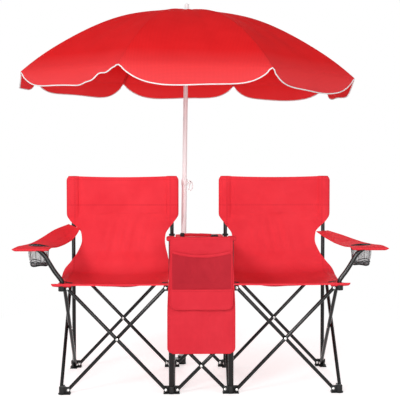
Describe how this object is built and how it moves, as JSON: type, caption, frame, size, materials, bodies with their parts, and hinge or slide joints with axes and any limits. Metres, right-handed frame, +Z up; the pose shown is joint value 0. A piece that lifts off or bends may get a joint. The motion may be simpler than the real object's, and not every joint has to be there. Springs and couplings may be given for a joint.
{
  "type": "umbrella chair",
  "caption": "Double folding camp chair on scissor frames, with cup-holder armrests, a middle table with a hanging cooler bag, and a telescoping parasol that closes.",
  "frame": {"origin": "on the floor, midway between the two chairs from side to side, in the plane of the umbrella's pole from front to back", "axes": "+Z up, the seats face -Y, +X to the viewer's right when looking at the seats"},
  "size_m": [1.4457, 1.355, 1.5442],
  "materials": {
    "frame_steel": "gloss black enamel",
    "black_plastic": "moulded black plastic",
    "white_enamel": "off-white enamel",
    "white_plastic": "moulded white plastic",
    "seat_cloth": "red woven polyester",
    "canopy_cloth": "red woven polyester with white piping"
  },
  "bodies": {
    "left_rear_cross_a": {"left_rear_cross_a": "frame_steel"},
    "left_rear_cross_b": {"left_rear_cross_b": "frame_steel"},
    "left_inner_cross_a": {"left_inner_cross_a": "frame_steel"},
    "left_inner_cross_b": {"left_inner_cross_b": "frame_steel"},
    "left_front_cross_a": {"left_front_cross_a": "frame_steel"},
    "left_front_cross_b": {"left_front_cross_b": "frame_steel"},
    "left_outer_cross_a": {"left_outer_cross_a": "frame_steel"},
    "left_outer_cross_b": {"left_outer_cross_b": "frame_steel"},
    "middle_rear_cross_a": {"middle_rear_cross_a": "frame_steel"},
    "middle_rear_cross_b": {"middle_rear_cross_b": "frame_steel"},
    "right_rear_cross_a": {"right_rear_cross_a": "frame_steel"},
    "right_rear_cross_b": {"right_rear_cross_b": "frame_steel"},
    "right_inner_cross_a": {"right_inner_cross_a": "frame_steel"},
    "right_inner_cross_b": {"right_inner_cross_b": "frame_steel"},
    "right_front_cross_a": {"right_front_cross_a": "frame_steel"},
    "right_front_cross_b": {"right_front_cross_b": "frame_steel"},
    "right_outer_cross_a": {"right_outer_cross_a": "frame_steel"},
    "right_outer_cross_b": {"right_outer_cross_b": "frame_steel"},
    "middle_front_cross_a": {"middle_front_cross_a": "frame_steel"},
    "middle_front_cross_b": {"middle_front_cross_b": "frame_steel"},
    "left_front_low_collar": {"left_front_low_collar": "black_plastic"},
    "left_inner_front_hub": {"left_inner_front_hub": "black_plastic"},
    "left_inner_front_leg": {"left_inner_front_leg": "frame_steel", "left_seat_sling": "seat_cloth", "cooler_table": "seat_cloth"},
    "left_inner_rear_hub": {"left_inner_rear_hub": "black_plastic"},
    "left_inner_rear_leg": {"left_inner_rear_leg": "frame_steel"},
    "left_outer_front_foot": {"left_outer_front_foot": "frame_steel"},
    "left_outer_front_hub": {"left_outer_front_hub": "black_plastic", "left_arm_tube": "frame_steel", "left_armrest": "seat_cloth"},
    "left_outer_rear_hub": {"left_outer_rear_hub": "black_plastic"},
    "left_outer_rear_leg": {"left_outer_rear_leg": "frame_steel"},
    "left_rear_low_collar": {"left_rear_low_collar": "black_plastic"},
    "right_front_low_collar": {"right_front_low_collar": "black_plastic"},
    "right_inner_front_hub": {"right_inner_front_hub": "black_plastic"},
    "right_inner_front_leg": {"right_inner_front_leg": "frame_steel", "right_seat_sling": "seat_cloth"},
    "right_inner_rear_hub": {"right_inner_rear_hub": "black_plastic"},
    "right_inner_rear_leg": {"right_inner_rear_leg": "frame_steel"},
    "right_outer_front_foot": {"right_outer_front_foot": "frame_steel"},
    "right_outer_front_hub": {"right_outer_front_hub": "black_plastic", "right_arm_tube": "frame_steel", "right_armrest": "seat_cloth"},
    "right_outer_rear_hub": {"right_outer_rear_hub": "black_plastic"},
    "right_outer_rear_leg": {"right_outer_rear_leg": "frame_steel"},
    "right_rear_low_collar": {"right_rear_low_collar": "black_plastic"},
    "lower_pole": {"lower_pole": "white_enamel"},
    "clamp_knob": {"clamp_knob": "white_plastic"},
    "upper_pole": {"upper_pole": "white_enamel", "canopy": "canopy_cloth"},
    "runner": {"runner": "black_plastic"},
    "rib_1": {"rib_1": "frame_steel"},
    "rib_2": {"rib_2": "frame_steel"},
    "rib_3": {"rib_3": "frame_steel"},
    "rib_4": {"rib_4": "frame_steel"},
    "rib_5": {"rib_5": "frame_steel"},
    "rib_6": {"rib_6": "frame_steel"},
    "rib_7": {"rib_7": "frame_steel"},
    "rib_8": {"rib_8": "frame_steel"}
  },
  "joints": [
    {"name": "chair_fold", "type": "hinge", "parent": "left_inner_rear_leg", "child": "left_rear_cross_a", "pos_m": [-0.136, -0.05, 0.0165], "axis": [0, 1, 0], "range_deg": [0, 35.5], "deforming": ["left_seat_sling", "right_seat_sling", "left_armrest", "right_armrest", "cooler_table"]},
    {"name": "left_rear_crossing", "type": "hinge", "parent": "left_rear_cross_a", "child": "left_rear_cross_b", "pos_m": [-0.322, -0.05, 0.2115], "axis": [0, 1, 0], "range_deg": [-71, 0]},
    {"name": "left_outer_rear_leg_upright", "type": "hinge", "parent": "left_rear_cross_b", "child": "left_outer_rear_leg", "pos_m": [-0.508, -0.05, 0.0165], "axis": [0, 1, 0], "range_deg": [0, 35.5]},
    {"name": "left_outer_rear_hub_upright", "type": "hinge", "parent": "left_rear_cross_a", "child": "left_outer_rear_hub", "pos_m": [-0.508, -0.05, 0.4065], "axis": [0, 1, 0], "range_deg": [-35.5, 0]},
    {"name": "left_inner_rear_hub_upright", "type": "hinge", "parent": "left_rear_cross_b", "child": "left_inner_rear_hub", "pos_m": [-0.136, -0.05, 0.4065], "axis": [0, 1, 0], "range_deg": [0, 35.5]},
    {"name": "left_inner_cross_a_foot_pin", "type": "hinge", "parent": "left_inner_rear_leg", "child": "left_inner_cross_a", "pos_m": [-0.1135, -0.0725, 0.0165], "axis": [-1, 0, 0], "range_deg": [0, 35.5]},
    {"name": "left_inner_crossing", "type": "hinge", "parent": "left_inner_cross_a", "child": "left_inner_cross_b", "pos_m": [-0.1135, -0.2585, 0.2115], "axis": [-1, 0, 0], "range_deg": [-71, 0]},
    {"name": "left_inner_front_leg_upright", "type": "hinge", "parent": "left_inner_cross_b", "child": "left_inner_front_leg", "pos_m": [-0.1135, -0.4445, 0.0165], "axis": [-1, 0, 0], "range_deg": [0, 35.5]},
    {"name": "left_inner_front_hub_upright", "type": "hinge", "parent": "left_inner_cross_a", "child": "left_inner_front_hub", "pos_m": [-0.1135, -0.4445, 0.4065], "axis": [-1, 0, 0], "range_deg": [-35.5, 0]},
    {"name": "left_front_cross_a_foot_pin", "type": "hinge", "parent": "left_inner_front_leg", "child": "left_front_cross_a", "pos_m": [-0.136, -0.467, 0.0165], "axis": [0, 1, 0], "range_deg": [0, 35.5]},
    {"name": "left_front_crossing", "type": "hinge", "parent": "left_front_cross_a", "child": "left_front_cross_b", "pos_m": [-0.322, -0.467, 0.2115], "axis": [0, 1, 0], "range_deg": [-71, 0]},
    {"name": "left_outer_front_foot_upright", "type": "hinge", "parent": "left_front_cross_b", "child": "left_outer_front_foot", "pos_m": [-0.508, -0.467, 0.0165], "axis": [0, 1, 0], "range_deg": [0, 35.5]},
    {"name": "left_outer_front_hub_upright", "type": "hinge", "parent": "left_front_cross_a", "child": "left_outer_front_hub", "pos_m": [-0.508, -0.467, 0.4065], "axis": [0, 1, 0], "range_deg": [-35.5, 0]},
    {"name": "left_outer_cross_a_foot_pin", "type": "hinge", "parent": "left_outer_front_foot", "child": "left_outer_cross_a", "pos_m": [-0.5305, -0.4445, 0.0165], "axis": [1, 0, 0], "range_deg": [0, 35.5]},
    {"name": "left_outer_crossing", "type": "hinge", "parent": "left_outer_cross_a", "child": "left_outer_cross_b", "pos_m": [-0.5305, -0.2585, 0.2115], "axis": [1, 0, 0], "range_deg": [-71, 0]},
    {"name": "middle_rear_cross_a_foot_pin", "type": "hinge", "parent": "left_inner_rear_leg", "child": "middle_rear_cross_a", "pos_m": [-0.091, -0.05, 0.0165], "axis": [0, -1, 0], "range_deg": [0, 26.62]},
    {"name": "middle_rear_crossing", "type": "hinge", "parent": "middle_rear_cross_a", "child": "middle_rear_cross_b", "pos_m": [0, -0.05, 0.108], "axis": [0, -1, 0], "range_deg": [-53.25, 0]},
    {"name": "right_inner_rear_leg_upright", "type": "hinge", "parent": "middle_rear_cross_b", "child": "right_inner_rear_leg", "pos_m": [0.091, -0.05, 0.0165], "axis": [0, -1, 0], "range_deg": [0, 26.62]},
    {"name": "right_rear_low_collar_upright", "type": "hinge", "parent": "middle_rear_cross_a", "child": "right_rear_low_collar", "pos_m": [0.091, -0.05, 0.1995], "axis": [0, -1, 0], "range_deg": [-26.62, 0]},
    {"name": "left_rear_low_collar_upright", "type": "hinge", "parent": "middle_rear_cross_b", "child": "left_rear_low_collar", "pos_m": [-0.091, -0.05, 0.1995], "axis": [0, -1, 0], "range_deg": [0, 26.62]},
    {"name": "right_rear_cross_a_foot_pin", "type": "hinge", "parent": "right_inner_rear_leg", "child": "right_rear_cross_a", "pos_m": [0.136, -0.05, 0.0165], "axis": [0, -1, 0], "range_deg": [0, 35.5]},
    {"name": "right_rear_crossing", "type": "hinge", "parent": "right_rear_cross_a", "child": "right_rear_cross_b", "pos_m": [0.322, -0.05, 0.2115], "axis": [0, -1, 0], "range_deg": [-71, 0]},
    {"name": "right_outer_rear_leg_upright", "type": "hinge", "parent": "right_rear_cross_b", "child": "right_outer_rear_leg", "pos_m": [0.508, -0.05, 0.0165], "axis": [0, -1, 0], "range_deg": [0, 35.5]},
    {"name": "right_outer_rear_hub_upright", "type": "hinge", "parent": "right_rear_cross_a", "child": "right_outer_rear_hub", "pos_m": [0.508, -0.05, 0.4065], "axis": [0, -1, 0], "range_deg": [-35.5, 0]},
    {"name": "right_inner_rear_hub_upright", "type": "hinge", "parent": "right_rear_cross_b", "child": "right_inner_rear_hub", "pos_m": [0.136, -0.05, 0.4065], "axis": [0, -1, 0], "range_deg": [0, 35.5]},
    {"name": "right_inner_cross_a_foot_pin", "type": "hinge", "parent": "right_inner_rear_leg", "child": "right_inner_cross_a", "pos_m": [0.1135, -0.0725, 0.0165], "axis": [-1, 0, 0], "range_deg": [0, 35.5]},
    {"name": "right_inner_crossing", "type": "hinge", "parent": "right_inner_cross_a", "child": "right_inner_cross_b", "pos_m": [0.1135, -0.2585, 0.2115], "axis": [-1, 0, 0], "range_deg": [-71, 0]},
    {"name": "right_inner_front_leg_upright", "type": "hinge", "parent": "right_inner_cross_b", "child": "right_inner_front_leg", "pos_m": [0.1135, -0.4445, 0.0165], "axis": [-1, 0, 0], "range_deg": [0, 35.5]},
    {"name": "right_inner_front_hub_upright", "type": "hinge", "parent": "right_inner_cross_a", "child": "right_inner_front_hub", "pos_m": [0.1135, -0.4445, 0.4065], "axis": [-1, 0, 0], "range_deg": [-35.5, 0]},
    {"name": "right_front_cross_a_foot_pin", "type": "hinge", "parent": "right_inner_front_leg", "child": "right_front_cross_a", "pos_m": [0.136, -0.467, 0.0165], "axis": [0, -1, 0], "range_deg": [0, 35.5]},
    {"name": "right_front_crossing", "type": "hinge", "parent": "right_front_cross_a", "child": "right_front_cross_b", "pos_m": [0.322, -0.467, 0.2115], "axis": [0, -1, 0], "range_deg": [-71, 0]},
    {"name": "right_outer_front_foot_upright", "type": "hinge", "parent": "right_front_cross_b", "child": "right_outer_front_foot", "pos_m": [0.508, -0.467, 0.0165], "axis": [0, -1, 0], "range_deg": [0, 35.5]},
    {"name": "right_outer_front_hub_upright", "type": "hinge", "parent": "right_front_cross_a", "child": "right_outer_front_hub", "pos_m": [0.508, -0.467, 0.4065], "axis": [0, -1, 0], "range_deg": [-35.5, 0]},
    {"name": "right_outer_cross_a_foot_pin", "type": "hinge", "parent": "right_outer_front_foot", "child": "right_outer_cross_a", "pos_m": [0.5305, -0.4445, 0.0165], "axis": [1, 0, 0], "range_deg": [0, 35.5]},
    {"name": "right_outer_crossing", "type": "hinge", "parent": "right_outer_cross_a", "child": "right_outer_cross_b", "pos_m": [0.5305, -0.2585, 0.2115], "axis": [1, 0, 0], "range_deg": [-71, 0]},
    {"name": "middle_front_cross_a_foot_pin", "type": "hinge", "parent": "left_inner_front_leg", "child": "middle_front_cross_a", "pos_m": [-0.091, -0.467, 0.0165], "axis": [0, -1, 0], "range_deg": [0, 26.62]},
    {"name": "middle_front_crossing", "type": "hinge", "parent": "middle_front_cross_a", "child": "middle_front_cross_b", "pos_m": [0, -0.467, 0.108], "axis": [0, -1, 0], "range_deg": [-53.25, 0]},
    {"name": "right_front_low_collar_upright", "type": "hinge", "parent": "middle_front_cross_a", "child": "right_front_low_collar", "pos_m": [0.091, -0.467, 0.1995], "axis": [0, -1, 0], "range_deg": [-26.62, 0]},
    {"name": "left_front_low_collar_upright", "type": "hinge", "parent": "middle_front_cross_b", "child": "left_front_low_collar", "pos_m": [-0.091, -0.467, 0.1995], "axis": [0, -1, 0], "range_deg": [0, 26.62]},
    {"name": "umbrella_lift", "type": "slide", "parent": "left_inner_rear_leg", "child": "lower_pole", "axis": [0.0148, 0, 0.9999], "range_m": [0, 0.12]},
    {"name": "pole_telescope", "type": "slide", "parent": "lower_pole", "child": "upper_pole", "axis": [0.0148, 0, 0.9999], "range_m": [-0.08, 0.1]},
    {"name": "clamp_knob_turn", "type": "hinge", "parent": "lower_pole", "child": "clamp_knob", "pos_m": [-0.05984, 0, 0.78591], "axis": [0.9999, 0, -0.0148], "range_deg": [0, 180]},
    {"name": "umbrella_close", "type": "hinge", "parent": "upper_pole", "child": "rib_1", "pos_m": [-0.05682, -0.02114, 1.50808], "axis": [0.9396, -0.342, -0.0139], "range_deg": [0, 66], "deforming": ["canopy"]},
    {"name": "rib_2_close", "type": "hinge", "parent": "upper_pole", "child": "rib_2", "pos_m": [-0.03962, -0.02039, 1.50782], "axis": [0.9062, 0.4226, -0.0134], "range_deg": [0, 66]},
    {"name": "rib_3_close", "type": "hinge", "parent": "upper_pole", "child": "rib_3", "pos_m": [-0.02799, -0.00769, 1.50765], "axis": [0.342, 0.9397, -0.0051], "range_deg": [0, 66]},
    {"name": "rib_4_close", "type": "hinge", "parent": "upper_pole", "child": "rib_4", "pos_m": [-0.02874, 0.00951, 1.50766], "axis": [-0.4226, 0.9063, 0.0063], "range_deg": [0, 66]},
    {"name": "rib_5_close", "type": "hinge", "parent": "upper_pole", "child": "rib_5", "pos_m": [-0.04143, 0.02114, 1.50785], "axis": [-0.9396, 0.342, 0.0139], "range_deg": [0, 66]},
    {"name": "rib_6_close", "type": "hinge", "parent": "upper_pole", "child": "rib_6", "pos_m": [-0.05863, 0.02039, 1.5081], "axis": [-0.9062, -0.4226, 0.0134], "range_deg": [0, 66]},
    {"name": "rib_7_close", "type": "hinge", "parent": "upper_pole", "child": "rib_7", "pos_m": [-0.07027, 0.00769, 1.50828], "axis": [-0.342, -0.9397, 0.0051], "range_deg": [0, 66]},
    {"name": "rib_8_close", "type": "hinge", "parent": "upper_pole", "child": "rib_8", "pos_m": [-0.06952, -0.00951, 1.50826], "axis": [0.4226, -0.9063, -0.0063], "range_deg": [0, 66]},
    {"name": "runner_slide", "type": "slide", "parent": "upper_pole", "child": "runner", "axis": [0.0148, 0, 0.9999], "range_m": [-0.385, 0]}
  ],
  "couplings": [
    {"joint": "left_rear_crossing", "follows": "chair_fold", "ratio": -2},
    {"joint": "left_outer_rear_leg_upright", "follows": "chair_fold", "ratio": 1},
    {"joint": "left_outer_rear_hub_upright", "follows": "chair_fold", "ratio": -1},
    {"joint": "left_inner_rear_hub_upright", "follows": "chair_fold", "ratio": 1},
    {"joint": "left_inner_cross_a_foot_pin", "follows": "chair_fold", "ratio": 1},
    {"joint": "left_inner_crossing", "follows": "chair_fold", "ratio": -2},
    {"joint": "left_inner_front_leg_upright", "follows": "chair_fold", "ratio": 1},
    {"joint": "left_inner_front_hub_upright", "follows": "chair_fold", "ratio": -1},
    {"joint": "left_front_cross_a_foot_pin", "follows": "chair_fold", "ratio": 1},
    {"joint": "left_front_crossing", "follows": "chair_fold", "ratio": -2},
    {"joint": "left_outer_front_foot_upright", "follows": "chair_fold", "ratio": 1},
    {"joint": "left_outer_front_hub_upright", "follows": "chair_fold", "ratio": -1},
    {"joint": "left_outer_cross_a_foot_pin", "follows": "chair_fold", "ratio": 1},
    {"joint": "left_outer_crossing", "follows": "chair_fold", "ratio": -2},
    {"joint": "middle_rear_cross_a_foot_pin", "follows": "chair_fold", "ratio": 0.75},
    {"joint": "middle_rear_crossing", "follows": "chair_fold", "ratio": -1.5},
    {"joint": "right_inner_rear_leg_upright", "follows": "chair_fold", "ratio": 0.75},
    {"joint": "right_rear_low_collar_upright", "follows": "chair_fold", "ratio": -0.75},
    {"joint": "left_rear_low_collar_upright", "follows": "chair_fold", "ratio": 0.75},
    {"joint": "right_rear_cross_a_foot_pin", "follows": "chair_fold", "ratio": 1},
    {"joint": "right_rear_crossing", "follows": "chair_fold", "ratio": -2},
    {"joint": "right_outer_rear_leg_upright", "follows": "chair_fold", "ratio": 1},
    {"joint": "right_outer_rear_hub_upright", "follows": "chair_fold", "ratio": -1},
    {"joint": "right_inner_rear_hub_upright", "follows": "chair_fold", "ratio": 1},
    {"joint": "right_inner_cross_a_foot_pin", "follows": "chair_fold", "ratio": 1},
    {"joint": "right_inner_crossing", "follows": "chair_fold", "ratio": -2},
    {"joint": "right_inner_front_leg_upright", "follows": "chair_fold", "ratio": 1},
    {"joint": "right_inner_front_hub_upright", "follows": "chair_fold", "ratio": -1},
    {"joint": "right_front_cross_a_foot_pin", "follows": "chair_fold", "ratio": 1},
    {"joint": "right_front_crossing", "follows": "chair_fold", "ratio": -2},
    {"joint": "right_outer_front_foot_upright", "follows": "chair_fold", "ratio": 1},
    {"joint": "right_outer_front_hub_upright", "follows": "chair_fold", "ratio": -1},
    {"joint": "right_outer_cross_a_foot_pin", "follows": "chair_fold", "ratio": 1},
    {"joint": "right_outer_crossing", "follows": "chair_fold", "ratio": -2},
    {"joint": "middle_front_cross_a_foot_pin", "follows": "chair_fold", "ratio": 0.75},
    {"joint": "middle_front_crossing", "follows": "chair_fold", "ratio": -1.5},
    {"joint": "right_front_low_collar_upright", "follows": "chair_fold", "ratio": -0.75},
    {"joint": "left_front_low_collar_upright", "follows": "chair_fold", "ratio": 0.75},
    {"joint": "rib_2_close", "follows": "umbrella_close", "ratio": 1},
    {"joint": "rib_3_close", "follows": "umbrella_close", "ratio": 1},
    {"joint": "rib_4_close", "follows": "umbrella_close", "ratio": 1},
    {"joint": "rib_5_close", "follows": "umbrella_close", "ratio": 1},
    {"joint": "rib_6_close", "follows": "umbrella_close", "ratio": 1},
    {"joint": "rib_7_close", "follows": "umbrella_close", "ratio": 1},
    {"joint": "rib_8_close", "follows": "umbrella_close", "ratio": 1},
    {"joint": "runner_slide", "follows": "umbrella_close", "m_per_rad": -0.33422}
  ]
}
